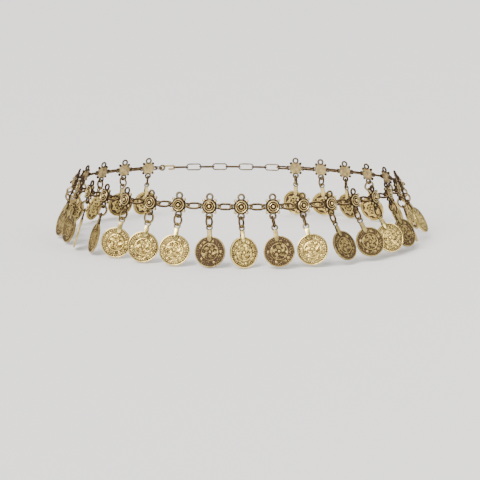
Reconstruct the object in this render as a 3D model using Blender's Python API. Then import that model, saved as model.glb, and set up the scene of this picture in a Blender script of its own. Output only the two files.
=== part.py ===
"""A coin belt of cast rosette medallions and wire links, with a coin hanging from each medallion.

The belt lies as it is worn, round a waist. Lengths are in metres and +Z is up. The front of the belt
faces -Y, and the origin is the middle of the waist at the height of the chain. A station is a place
on the waist line: there the local X axis runs along the belt, Y points in to the waist and Z is up.
"""

from collections import namedtuple
from math import asin, atan2, copysign, cos, pi, radians, sin, sqrt

import bmesh
import bpy
import numpy as np
from mathutils import Matrix, Vector

# Waist line: half an ellipse in front of the widest line and a flatter half behind it
WAIST_HALF_WIDTH = 0.1190
WAIST_FRONT_DEPTH = 0.1140
WAIST_BACK_DEPTH = 0.0750
WAIST_MIDDLE_Y = (WAIST_BACK_DEPTH - WAIST_FRONT_DEPTH) / 2
WAIST_STEPS = 4000

# Chain
UNIT_COUNT = 28
PITCH = 0.0206
FRONT_UNIT = 14
FRONT_UNIT_OFFSET = 0.0033
FRONT_LEAN = radians(8)
SIDE_LEAN = radians(22)

# Medallion, cast in one plate that lies in its own XZ plane, with a dome on its front
PLATE_HALF_THICKNESS = 0.0004
DROP_HOLE_CENTRE = 0.0061
DROP_HOLE_RADIUS = 0.0014
SIDE_HOLE_CENTRE = 0.0058
SIDE_HOLE_RADIUS = 0.00105
LOOP_RIM = 0.0010
SIDE_LOOP_RIM = 0.0007
HOLE_SIDES = 6
BEAD_CENTRE = 0.0053
BEAD_RADIUS = 0.00085
DOME_RADIUS = 0.0044
DOME_FOOT_Y = -0.0011
CROWN_RADIUS = 0.0014
CROWN_Y = -0.0021
TIP_Y = -0.0029
DOME_STEPS = 10
LOOP_STEPS = 4
BEAD_STEPS = 3

# Oval link from one side loop to the next
LINK_WIRE = 0.0004
LINK_HALF_WIDTH = 0.0025
LINK_ROLL = radians(36)
SEAT_GAP = 0.0003
FUSE_DEPTH = 0.0003

# Pendant, whose local origin is the middle of the bar below the medallion's lowest hole
RING_REACH = 0.00335
RING_WIRE = 0.0005
EYE_RADIUS = 0.0021
EYE_HOLE_RADIUS = 0.0012
EYE_HALF_THICKNESS = 0.00045
TONGUE_HALF_WIDTH = 0.0015
TONGUE_HALF_THICKNESS = 0.0012
TONGUE_OVERLAP = 0.0037
TONGUE_POINT = 0.0012
COIN_RADIUS = 0.0102
COIN_THICKNESS = 0.0014
COIN_CENTRE_DROP = 0.0216
COIN_STEPS = 16

# Where a link's wire rests against the outer bar of a side loop, from the medallion's middle
LINK_SEAT = SIDE_HOLE_CENTRE + SIDE_HOLE_RADIUS - LINK_WIRE
UP = Vector((0, 0, 1))

# Wire roundness
LINK_STEPS = 6
RING_STEPS = 8
WIRE_SIDES = 4
MERGE_DISTANCE = 1e-7

# Closure behind the waist: a ring in the first medallion, a flat hook on it, and a chain of links
CLASP_RING_REACH = 0.0026
CLASP_RING_WIRE = 0.0005
HOOK_RADIUS = 0.0026
HOOK_HOLE_RADIUS = 0.0011
HOOK_LENGTH = 0.0090
HOOK_TIP = 0.0040
HOOK_HALF_THICKNESS = 0.0005
HOOK_STEPS = 4
CHAIN_LINK_COUNT = 8
CHAIN_LINK_WIRE = 0.0005
CHAIN_LINK_HALF_WIDTH = 0.0023

# Hang of each pendant, in degrees. lean swings it away from the waist and sway moves its coin along the
# belt. turn rotates the coin and ring the jump ring about the hanging line, anticlockwise from above.
Hang = namedtuple("Hang", "lean sway turn ring")
HANGS = (
    Hang(16, 2, 12, -20),
    Hang(18, -2, -9, 14),
    Hang(17, 4, 15, -10),
    Hang(19, 3, -12, 24),
    Hang(18, 8, -6, 0),
    Hang(19, 6, 15, 8),
    Hang(16, 5, 8, -8),
    Hang(20, 2, -26, 6),
    Hang(17, -5, -24, -10),
    Hang(13, -9, 30, -5),
    Hang(16, -4, 24, -24),
    Hang(17, -1, 14, -24),
    Hang(13, 4, -4, -24),
    Hang(12, 5, 29, -24),
    Hang(20, 8, -9, -18),
    Hang(21, 10, -20, -14),
    Hang(25, 14, 18, -5),
    Hang(28, 11, -14, -11),
    Hang(28, 8, -19, -19),
    Hang(28, 5, -12, -24),
    Hang(24, 1, 12, -24),
    Hang(34, 6, -8, -24),
    Hang(24, 2, 10, -15),
    Hang(20, -3, -14, 12),
    Hang(18, 4, 9, -24),
    Hang(17, 1, -16, 20),
    Hang(19, -2, 13, -12),
    Hang(16, 3, -8, 24),
)

# Antique gold: colour, metallic and roughness of each kind of piece
Finish = namedtuple("Finish", "colour metallic roughness")
CAST_GOLD = Finish((0.50, 0.36, 0.16), 1.0, 0.38)
COIN_GOLD = Finish((0.60, 0.46, 0.23), 1.0, 0.34)
WIRE_GOLD = Finish((0.66, 0.50, 0.26), 1.0, 0.30)
SMOOTH_ANGLE = radians(40)


def clear_scene():
    for old in list(bpy.data.objects):
        bpy.data.objects.remove(old, do_unlink=True)


def waist_line():
    """Points of the closed waist line and their distance along it, zero at the front."""
    angle = np.linspace(-pi, pi, WAIST_STEPS + 1)
    depth = np.where(np.cos(angle) > 0, WAIST_FRONT_DEPTH, WAIST_BACK_DEPTH)
    x = WAIST_HALF_WIDTH * np.sin(angle)
    y = -depth * np.cos(angle) - WAIST_MIDDLE_Y
    run = np.concatenate([[0.0], np.cumsum(np.hypot(np.diff(x), np.diff(y)))])
    run -= np.interp(0.0, angle, run)
    return run, x, y


WAIST_RUN, WAIST_X, WAIST_Y = waist_line()
WAIST_LENGTH = WAIST_RUN[-1] - WAIST_RUN[0]


def waist_point(along):
    """The point of the waist line at a distance from its front."""
    along = (along - WAIST_RUN[0]) % WAIST_LENGTH + WAIST_RUN[0]
    return Vector((np.interp(along, WAIST_RUN, WAIST_X), np.interp(along, WAIST_RUN, WAIST_Y), 0.0))


def waist_heading(along):
    """The angle from +X to the belt's direction at a distance from the front."""
    step = waist_point(along + PITCH / 20) - waist_point(along - PITCH / 20)
    return np.arctan2(step.y, step.x)


def unit_distance(unit):
    return (unit - FRONT_UNIT) * PITCH + FRONT_UNIT_OFFSET


def station_frame(along):
    """A place on the waist line, its top leaned in to the hips' slope."""
    heading = waist_heading(along)
    lean = FRONT_LEAN + (SIDE_LEAN - FRONT_LEAN) * sin(heading) ** 2
    turn = Matrix.Rotation(heading, 4, "Z") @ Matrix.Rotation(-lean, 4, "X")
    return Matrix.Translation(waist_point(along)) @ turn


def medallion_frame(unit):
    return station_frame(unit_distance(unit))


def pendant_frame(unit):
    """Where a pendant hangs: its origin in the medallion's lowest wire, its coin down local -Z."""
    hang = HANGS[unit - 1]
    bar_middle = -DROP_HOLE_CENTRE - DROP_HOLE_RADIUS - LOOP_RIM / 2
    pivot = medallion_frame(unit) @ Vector((0, 0, bar_middle))
    turn = Matrix.Rotation(waist_heading(unit_distance(unit)), 4, "Z")
    turn = turn @ Matrix.Rotation(radians(-hang.sway), 4, "Y")
    turn = turn @ Matrix.Rotation(radians(-hang.lean), 4, "X")
    return Matrix.Translation(pivot) @ turn


def finished_mesh(name, shape):
    """The mesh of a bmesh, with its doubles merged and its faces pointing out."""
    bmesh.ops.remove_doubles(shape, verts=shape.verts, dist=MERGE_DISTANCE)
    bmesh.ops.recalc_face_normals(shape, faces=shape.faces)
    mesh = bpy.data.meshes.new(name)
    shape.to_mesh(mesh)
    shape.free()
    return mesh


def wire_ring(reach, wire, steps, half_width=None):
    """A closed wire ring in the XZ plane, stretched along X to an oval if it has a half width.

    The flats of its two ends lie across the X axis, their wire's middle at reach from the origin.
    """
    shape = bmesh.new()
    corner = half_width or reach / cos(pi / steps)
    start = Matrix.Rotation(pi / steps, 4, "Y") @ Matrix.Translation((corner, 0, 0))
    bmesh.ops.create_circle(shape, segments=WIRE_SIDES, radius=wire, matrix=start)
    bmesh.ops.spin(
        shape,
        geom=shape.verts[:] + shape.edges[:],
        cent=(0, 0, 0),
        axis=(0, 1, 0),
        angle=2 * pi,
        steps=steps,
        use_merge=True,
    )
    stretch = reach - corner * cos(pi / steps)
    for vert in shape.verts:
        if abs(vert.co.x) > wire:
            vert.co.x += copysign(stretch, vert.co.x)
    return finished_mesh("wire_ring", shape)


def turned(profile, steps):
    """A solid turned round the Y axis from (radius, y) points that start and end on it."""
    shape = bmesh.new()
    points = [shape.verts.new((radius, y, 0)) for radius, y in profile]
    edges = [shape.edges.new(pair) for pair in zip(points, points[1:])]
    bmesh.ops.spin(
        shape,
        geom=points + edges,
        cent=(0, 0, 0),
        axis=(0, 1, 0),
        angle=2 * pi,
        steps=steps,
        use_merge=True,
    )
    return finished_mesh("turned", shape)


def polygon(centre, radius, sides, facing):
    """Points of a regular polygon, its first flat facing an angle at radius from the middle."""
    corner = radius / cos(pi / sides)
    angles = [facing + (step + 0.5) * 2 * pi / sides for step in range(sides)]
    return [(centre[0] + corner * cos(a), centre[1] + corner * sin(a)) for a in angles]


def plate(outline, holes, half_thickness):
    """A plate in the XZ plane, from the (x, z) points of its outline and its holes."""
    shape = bmesh.new()
    edges = []
    for points in [outline] + holes:
        verts = [shape.verts.new((x, -half_thickness, z)) for x, z in points]
        edges += [shape.edges.new(pair) for pair in zip(verts, verts[1:] + verts[:1])]
    bmesh.ops.triangle_fill(shape, edges=edges, use_beauty=True)
    moved = bmesh.ops.extrude_face_region(shape, geom=shape.faces[:])["geom"]
    far = [part for part in moved if isinstance(part, bmesh.types.BMVert)]
    bmesh.ops.translate(shape, verts=far, vec=(0, 2 * half_thickness, 0))
    return finished_mesh("plate", shape)


def placed(mesh, matrix):
    """A mesh moved by a matrix."""
    mesh.transform(matrix)
    return mesh


def fused(name, meshes):
    """One closed mesh from several that overlap."""
    parts = []
    for number, mesh in enumerate(meshes):
        part = bpy.data.objects.new(f"{name}_{number}", mesh)
        bpy.context.scene.collection.objects.link(part)
        parts.append(part)
    for part in parts[1:]:
        union = parts[0].modifiers.new("union", "BOOLEAN")
        union.operation = "UNION"
        union.solver = "EXACT"
        union.object = part
    graph = bpy.context.evaluated_depsgraph_get()
    mesh = bpy.data.meshes.new_from_object(parts[0].evaluated_get(graph))
    mesh.name = name
    for part in parts:
        bpy.data.objects.remove(part, do_unlink=True)
    return mesh


def material(name, finish):
    """A Principled material of one finish."""
    made = bpy.data.materials.new(name)
    made.use_nodes = True
    shader = made.node_tree.nodes["Principled BSDF"]
    shader.inputs["Base Color"].default_value = (*finish.colour, 1.0)
    shader.inputs["Metallic"].default_value = finish.metallic
    shader.inputs["Roughness"].default_value = finish.roughness
    made.diffuse_color = (*finish.colour, 1.0)
    return made


def add_node(name, mesh, matrix, dress):
    """An object that shows a mesh at a place."""
    mesh.shade_smooth()
    mesh.set_sharp_from_angle(angle=SMOOTH_ANGLE)
    mesh.materials.clear()
    mesh.materials.append(dress)
    node = bpy.data.objects.new(name, mesh)
    node.matrix_world = matrix
    bpy.context.scene.collection.objects.link(node)
    return node


def knob_points(centre, radius, angle, steps):
    """Points of the outer side of a round knob, on rays from the plate's middle."""
    half = asin(radius / centre)
    points = []
    for step in range(steps):
        off = half * (2 * step / (steps - 1) - 1)
        far = centre * cos(off) + sqrt(max(radius**2 - (centre * sin(off)) ** 2, 0))
        points.append((far * cos(angle + off), far * sin(angle + off)))
    return points


def rosette():
    """The cast medallion: a plate with four pierced loops and four beads, and a dome."""
    outline = []
    holes = []
    for quarter in range(4):
        angle = quarter * pi / 2
        on_side = quarter % 2 == 0
        centre = SIDE_HOLE_CENTRE if on_side else DROP_HOLE_CENTRE
        hole = SIDE_HOLE_RADIUS if on_side else DROP_HOLE_RADIUS
        rim = SIDE_LOOP_RIM if on_side else LOOP_RIM
        middle = (centre * cos(angle), centre * sin(angle))
        outline += knob_points(centre, hole + rim, angle, LOOP_STEPS)
        outline += knob_points(BEAD_CENTRE, BEAD_RADIUS, angle + pi / 4, BEAD_STEPS)
        holes.append(polygon(middle, hole, HOLE_SIDES, angle))
    dome = [(0, 0), (DOME_RADIUS, 0), (DOME_RADIUS, DOME_FOOT_Y), (CROWN_RADIUS, CROWN_Y), (0, TIP_Y)]
    return fused("rosette", [plate(outline, holes, PLATE_HALF_THICKNESS), turned(dome, DOME_STEPS)])


def link_between(start, end, up, roll, wire, half_width):
    """An oval link whose end wires pass through two points."""
    along = (end - start).normalized()
    inward = up.cross(along).normalized()
    frame = Matrix((along, inward, along.cross(inward))).transposed().to_4x4()
    link = wire_ring((end - start).length / 2, wire, LINK_STEPS, half_width)
    lie_flat = Matrix.Rotation(pi / 2 + roll, 4, "X")
    return placed(link, Matrix.Translation((start + end) / 2) @ frame @ lie_flat)


def medallion(unit, shared_rosette, dress):
    """A rosette with the link on its right, which passes through the next side loop."""
    here = medallion_frame(unit)
    there = medallion_frame(unit + 1)
    start = Vector((LINK_SEAT + FUSE_DEPTH, 0, 0))
    end = here.inverted() @ there @ Vector((SEAT_GAP - LINK_SEAT, 0, 0))
    link = link_between(start, end, UP, LINK_ROLL, LINK_WIRE, LINK_HALF_WIDTH)
    mesh = fused(f"medallion_{unit:02d}", [shared_rosette.copy(), link])
    return add_node(f"medallion_{unit:02d}", mesh, here, dress)


def bail(eye_middle, coin_top):
    """A flat eye that goes over into a tongue, thick enough below to clasp both faces of the coin."""
    neck = eye_middle - EYE_RADIUS
    low = coin_top - TONGUE_OVERLAP
    half = TONGUE_HALF_WIDTH
    eye = polygon((0, eye_middle), EYE_RADIUS, HOLE_SIDES, pi / 2)
    upper = [point for point in eye if point[1] > eye_middle - EYE_RADIUS / 2]
    upper.sort(key=lambda point: atan2(point[1] - neck, point[0]))
    sides = [neck, coin_top, low + TONGUE_POINT]
    left = [(-half, z) for z in sides]
    right = [(half, z) for z in reversed(sides)]
    hole = polygon((0, eye_middle), EYE_HOLE_RADIUS, HOLE_SIDES, pi / 2)
    mesh = plate(upper + left + [(0, low)] + right, [hole], TONGUE_HALF_THICKNESS)
    for vert in mesh.vertices:
        if vert.co.z > (neck + coin_top) / 2:
            vert.co.y *= EYE_HALF_THICKNESS / TONGUE_HALF_THICKNESS
    return mesh


def pendant(unit, dress):
    """A jump ring, and the bail and coin that hang from it, each turned to face its own way."""
    hang = HANGS[unit - 1]
    ring_centre = LOOP_RIM / 2 + SEAT_GAP + RING_WIRE - RING_REACH
    ring = placed(
        wire_ring(RING_REACH, RING_WIRE, RING_STEPS),
        Matrix.Translation((0, 0, ring_centre)) @ Matrix.Rotation(pi / 2 + radians(hang.ring), 4, "Z"),
    )
    ring_low_ridge = ring_centre - RING_REACH + RING_WIRE * cos(pi / RING_STEPS)
    strip = bail(ring_low_ridge - FUSE_DEPTH - EYE_HOLE_RADIUS, COIN_RADIUS - COIN_CENTRE_DROP)
    coin_outline = polygon((0, -COIN_CENTRE_DROP), COIN_RADIUS, COIN_STEPS, pi / 2)
    coin = plate(coin_outline, [], COIN_THICKNESS / 2)
    turn = Matrix.Rotation(radians(hang.turn), 4, "Z")
    mesh = fused(f"pendant_{unit:02d}", [ring, placed(strip, turn), placed(coin, turn)])
    return add_node(f"pendant_{unit:02d}", mesh, pendant_frame(unit), dress)


def clasp_ring(dress):
    """The ring in the first medallion's free side loop, lying level. Returns its distance along."""
    middle = SEAT_GAP + CLASP_RING_WIRE - SIDE_HOLE_CENTRE - SIDE_HOLE_RADIUS - CLASP_RING_REACH
    lie_flat = Matrix.Rotation(pi / 2, 4, "X")
    ring = placed(wire_ring(CLASP_RING_REACH, CLASP_RING_WIRE, RING_STEPS), lie_flat)
    frame = medallion_frame(1) @ Matrix.Translation((middle, 0, 0))
    add_node("clasp_ring", ring, frame, dress)
    return unit_distance(1) + middle


def arc(middle, radius, start, turn, steps):
    """Points along an arc, with one at each end."""
    angles = [start + turn * step / steps for step in range(steps + 1)]
    return [(middle + radius * cos(angle), radius * sin(angle)) for angle in angles]


def clasp_hook(ring_middle, dress):
    """A flat hook with its eye on the clasp ring. Returns how far along its bend holds the chain."""
    half = HOOK_LENGTH / 2
    eye = ring_middle - CLASP_RING_REACH - HOOK_HOLE_RADIUS + SEAT_GAP + CLASP_RING_WIRE
    inner = HOOK_RADIUS * sin(pi / HOLE_SIDES)
    eye_start = -pi - pi / HOLE_SIDES
    outline = arc(half, HOOK_RADIUS, eye_start, 2 * pi * (1 - 1 / HOLE_SIDES), HOLE_SIDES - 1)
    outline += arc(-half, HOOK_RADIUS, pi / 2, pi, HOOK_STEPS)
    outline += [(HOOK_TIP - half, -HOOK_RADIUS), (HOOK_TIP - half, -inner)]
    outline += arc(-half, inner, -pi / 2, -pi, HOOK_STEPS)
    hole = polygon((half, 0), HOOK_HOLE_RADIUS, HOLE_SIDES, 0)
    frame = station_frame(eye - half)
    add_node("clasp_hook", plate(outline, [hole], HOOK_HALF_THICKNESS), frame, dress)
    return eye - HOOK_LENGTH - inner


def extension_chain(catch, dress):
    """Links from the last medallion to the hook, each turned a quarter against the one before."""
    first = unit_distance(UNIT_COUNT + 1) - LINK_SEAT - LINK_WIRE - CHAIN_LINK_WIRE
    last = catch + WAIST_LENGTH + SEAT_GAP + CHAIN_LINK_WIRE
    lap = 2 * CHAIN_LINK_WIRE - FUSE_DEPTH
    reach = (last - first + (CHAIN_LINK_COUNT - 1) * lap) / CHAIN_LINK_COUNT
    links = []
    for number in range(CHAIN_LINK_COUNT):
        start = first + number * (reach - lap)
        ends = waist_point(start), waist_point(start + reach)
        roll = (number + 1) * pi / 2
        links.append(link_between(*ends, UP, roll, CHAIN_LINK_WIRE, CHAIN_LINK_HALF_WIDTH))
    add_node("extension_chain", fused("extension_chain", links), Matrix(), dress)


def main():
    clear_scene()
    cast_gold = material("cast_gold", CAST_GOLD)
    coin_gold = material("coin_gold", COIN_GOLD)
    wire_gold = material("wire_gold", WIRE_GOLD)
    shared_rosette = rosette()
    for unit in range(1, UNIT_COUNT + 1):
        medallion(unit, shared_rosette, cast_gold)
        pendant(unit, coin_gold)
    ring_middle = clasp_ring(wire_gold)
    catch = clasp_hook(ring_middle, wire_gold)
    extension_chain(catch, wire_gold)


main()
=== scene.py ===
"""The coin belt as it looks: cast rosettes on round wire links, with a struck coin below each.

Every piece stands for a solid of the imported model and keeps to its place. Lengths are in metres,
+Z is up and the front of the belt faces -Y. A piece's own frame has X along the belt, Y in to the
waist and Z up, so that its face looks along -Y.
"""

from __future__ import annotations

import logging
from collections.abc import Iterable
from dataclasses import dataclass, field
from enum import Enum
from math import atan2, copysign, cos, hypot, pi, radians, sin

import bmesh
import bpy
import numpy as np
from mathutils import Matrix, Vector


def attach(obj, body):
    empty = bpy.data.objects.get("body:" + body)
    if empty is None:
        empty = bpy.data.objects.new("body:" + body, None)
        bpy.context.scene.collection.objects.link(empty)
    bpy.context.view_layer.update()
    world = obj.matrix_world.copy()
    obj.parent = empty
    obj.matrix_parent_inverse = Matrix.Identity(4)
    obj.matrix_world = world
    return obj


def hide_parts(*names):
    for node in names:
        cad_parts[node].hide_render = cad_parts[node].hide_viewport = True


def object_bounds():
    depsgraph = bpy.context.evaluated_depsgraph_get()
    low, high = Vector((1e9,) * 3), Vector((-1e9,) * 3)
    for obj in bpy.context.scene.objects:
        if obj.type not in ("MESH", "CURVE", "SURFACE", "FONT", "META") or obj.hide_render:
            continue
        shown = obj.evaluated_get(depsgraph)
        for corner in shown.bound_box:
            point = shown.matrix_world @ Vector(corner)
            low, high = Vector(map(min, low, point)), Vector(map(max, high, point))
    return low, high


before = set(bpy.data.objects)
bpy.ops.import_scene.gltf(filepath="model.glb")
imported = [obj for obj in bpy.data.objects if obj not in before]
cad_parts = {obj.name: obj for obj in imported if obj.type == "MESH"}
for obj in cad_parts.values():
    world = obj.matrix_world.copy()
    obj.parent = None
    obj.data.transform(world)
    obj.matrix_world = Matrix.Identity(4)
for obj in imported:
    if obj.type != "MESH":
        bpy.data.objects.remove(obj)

LOG = logging.getLogger("coin_belt")
CAD_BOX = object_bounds()

Socket = bpy.types.NodeSocket
Pair = tuple[float, float]
Triple = tuple[float, float, float]
Colour = Triple
Outline = list[bmesh.types.BMVert | bmesh.types.BMEdge]

UP = Vector((0, 0, 1))
MERGE_DISTANCE = 1e-7
SMOOTH_ANGLE = radians(42)
BAR_CORNER = (radians(75), radians(45), radians(15))
BAR_CORNER_CUT = 0.3
# Each vertex's darkness: patina in the hollows, and painted shade on wire flanks, bead sides, the
# dome's outer wall, the tongue's sides and the tongue's shadow on the coin.
PATINA_AND_SHADE = "patina_and_shade"
# Each piece's darkness: tarnishing, and painted shade for how some pieces catch the light.
TARNISH_AND_SHADE = "tarnish_and_shade"
CHAIN_BODY = "chain"


def smooth_step(values: np.ndarray, low: float, high: float) -> np.ndarray:
    """A soft change from nought to one.

    Args:
        values: Where to read the change.
        low: The value at which it starts.
        high: The value at which it ends.

    Returns:
        One number between nought and one for each value.
    """
    share = np.clip((values - low) / (high - low), 0.0, 1.0)
    return share * share * (3 - 2 * share)


def ridge(distance: np.ndarray, width: float) -> np.ndarray:
    """The height of a rounded ridge of a width, at distances from its middle line."""
    return np.exp(-((distance / width) ** 2))


def coordinates(mesh: bpy.types.Mesh) -> np.ndarray:
    """The places of a mesh's vertices.

    Args:
        mesh: The mesh.

    Returns:
        One row of X, Y and Z for each vertex.
    """
    flat = np.zeros(len(mesh.vertices) * 3, np.float32)
    mesh.vertices.foreach_get("co", flat)
    return flat.reshape(-1, 3).astype(float)


def move_vertices(mesh: bpy.types.Mesh, places: np.ndarray) -> None:
    """Puts a mesh's vertices at new places.

    Args:
        mesh: The mesh to change.
        places: One row for each vertex.
    """
    mesh.vertices.foreach_set("co", places.astype(np.float32).ravel())
    mesh.update()


def paint(mesh: bpy.types.Mesh, name: str, values: np.ndarray | float) -> None:
    """Keeps one number for each vertex, which the finishes read.

    Args:
        mesh: The mesh to paint.
        name: The attribute's name.
        values: A number for each vertex, or one for all of them.
    """
    layer = mesh.attributes.get(name) or mesh.attributes.new(name, "FLOAT", "POINT")
    spread = np.broadcast_to(np.asarray(values, np.float32), len(mesh.vertices))
    layer.data.foreach_set("value", np.ascontiguousarray(spread))


def closed_mesh(name: str, shape: bmesh.types.BMesh) -> bpy.types.Mesh:
    """The mesh of a shape, with its doubles merged and its faces pointing out.

    Args:
        name: The mesh's name.
        shape: The shape, which is freed.

    Returns:
        The new mesh, with no painted patina and no painted shade.
    """
    bmesh.ops.remove_doubles(shape, verts=shape.verts, dist=MERGE_DISTANCE)
    bmesh.ops.recalc_face_normals(shape, faces=shape.faces)
    mesh = bpy.data.meshes.new(name)
    shape.to_mesh(mesh)
    shape.free()
    paint(mesh, PATINA_AND_SHADE, 0.0)
    return mesh


def full_turn(shape: bmesh.types.BMesh, outline: Outline, steps: int) -> None:
    """Turns an outline once round the Y axis.

    Args:
        shape: The shape that it is in.
        outline: Its corners and edges.
        steps: How many steps go into the full turn.
    """
    bmesh.ops.spin(
        shape,
        geom=outline,
        cent=(0, 0, 0),
        axis=(0, 1, 0),
        angle=2 * pi,
        steps=steps,
        use_merge=True,
    )


def turned(name: str, profile: Iterable[Pair], steps: int) -> bpy.types.Mesh:
    """A body turned round the Y axis.

    Args:
        name: The mesh's name.
        profile: Points of radius and y, the first and last of them on the axis.
        steps: How many steps go into the full turn.

    Returns:
        The closed mesh.
    """
    shape = bmesh.new()
    points = [shape.verts.new((radius, y, 0)) for radius, y in profile]
    edges = [shape.edges.new(pair) for pair in zip(points, points[1:])]
    full_turn(shape, points + edges, steps)
    return closed_mesh(name, shape)


def drawn_bar(name: str, places: list[Matrix], corner: float) -> bpy.types.Mesh:
    """A flat bar drawn through a row of places.

    Args:
        name: The mesh's name.
        places: Where its section goes, a square from -1 to 1 in X and Y, one place after the other.
        corner: The share of the section's half that each corner's rounding takes.

    Returns:
        The closed mesh.
    """
    shape = bmesh.new()
    turn = Matrix.Rotation(BAR_CORNER[-1], 4, "Z")
    bmesh.ops.create_circle(shape, segments=4 * len(BAR_CORNER), radius=1.0, matrix=turn)
    spans = [cos(angle) for angle in BAR_CORNER]
    rounding = (1 - corner, 1 - BAR_CORNER_CUT * corner, 1.0)
    square = {}
    for vert in shape.verts:
        sides = [copysign(np.interp(abs(side), spans, rounding), side) for side in vert.co.xy]
        square[vert] = Vector((*sides, 0.0))
        vert.co = places[0] @ square[vert]
    edges = shape.edges[:]
    bmesh.ops.edgeloop_fill(shape, edges=edges)
    for place in places[1:]:
        known = {tuple(vert.co): section for vert, section in square.items()}
        moved = bmesh.ops.extrude_edge_only(shape, edges=edges)["geom"]
        fresh = [part for part in moved if isinstance(part, bmesh.types.BMVert)]
        square = {vert: known[tuple(vert.co)] for vert in fresh}
        moved_edges = [part for part in moved if isinstance(part, bmesh.types.BMEdge)]
        edges = [edge for edge in moved_edges if edge.is_boundary]
        for vert, section in square.items():
            vert.co = place @ section
    bmesh.ops.edgeloop_fill(shape, edges=edges)
    return closed_mesh(name, shape)


@dataclass(frozen=True)
class RoundWire:
    """Round wire bent to a closed loop in the XZ plane.

    Attributes:
        reach: From the loop's middle to the middle of the wire at its two X ends.
        radius: Half of the wire's thickness.
        half_width: From the loop's middle to the middle of the wire at its sides, if it is an oval.
        steps: Steps round the loop.
        sides: Sides of the wire.
        inner_shade: How dark the painted shade is on the wire's side towards the loop's middle.
        outer_shade: How dark the painted shade is on its outer side.
        shade_fall: How fast the painted shade falls off towards the wire's bright crest.
    """

    reach: float
    radius: float
    half_width: float | None = None
    steps: int = 40
    sides: int = 10
    inner_shade: float = 1.3
    outer_shade: float = 1.15
    shade_fall: float = 1.2

    def build(self, name: str) -> bpy.types.Mesh:
        """The loop's mesh.

        Args:
            name: The mesh's name.

        Returns:
            A closed mesh round the origin.
        """
        shape = bmesh.new()
        bend = self.half_width or self.reach
        half_step = Matrix.Rotation(pi / self.steps, 4, "Y")
        start = half_step @ Matrix.Translation((bend, 0, 0))
        bmesh.ops.create_circle(shape, segments=self.sides, radius=self.radius, matrix=start)
        full_turn(shape, shape.verts[:] + shape.edges[:], self.steps)
        stretch = self.reach - bend
        for vert in shape.verts:
            vert.co.x += copysign(stretch, vert.co.x)
        mesh = closed_mesh(name, shape)
        places = coordinates(mesh)
        # Painted shade, with some dirt: the wire's flanks go dark and its crest stays bright,
        # standing in for the shade and dark reflections on round wire.
        across = places[:, 0] - np.sign(places[:, 0]) * stretch
        depth = np.clip((bend - np.hypot(across, places[:, 2])) / self.radius, -1, 1)
        shade = np.where(depth > 0, self.inner_shade, self.outer_shade)
        paint(mesh, PATINA_AND_SHADE, shade * np.abs(depth) ** self.shade_fall)
        return mesh

    def between(self, name: str, start: Vector, end: Vector, roll: float) -> bpy.types.Mesh:
        """The loop, hung so that its end wires pass through two points.

        Args:
            name: The mesh's name.
            start: The middle of the first end wire.
            end: The middle of the last end wire.
            roll: How far the loop is rolled round its length from lying flat.

        Returns:
            The mesh in its place.
        """
        along = (end - start).normalized()
        inward = UP.cross(along).normalized()
        axes = Matrix((along, inward, along.cross(inward))).transposed().to_4x4()
        lie_flat = Matrix.Rotation(pi / 2 + roll, 4, "X")
        mesh = self.build(name)
        mesh.transform(Matrix.Translation((start + end) / 2) @ axes @ lie_flat)
        return mesh


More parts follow.
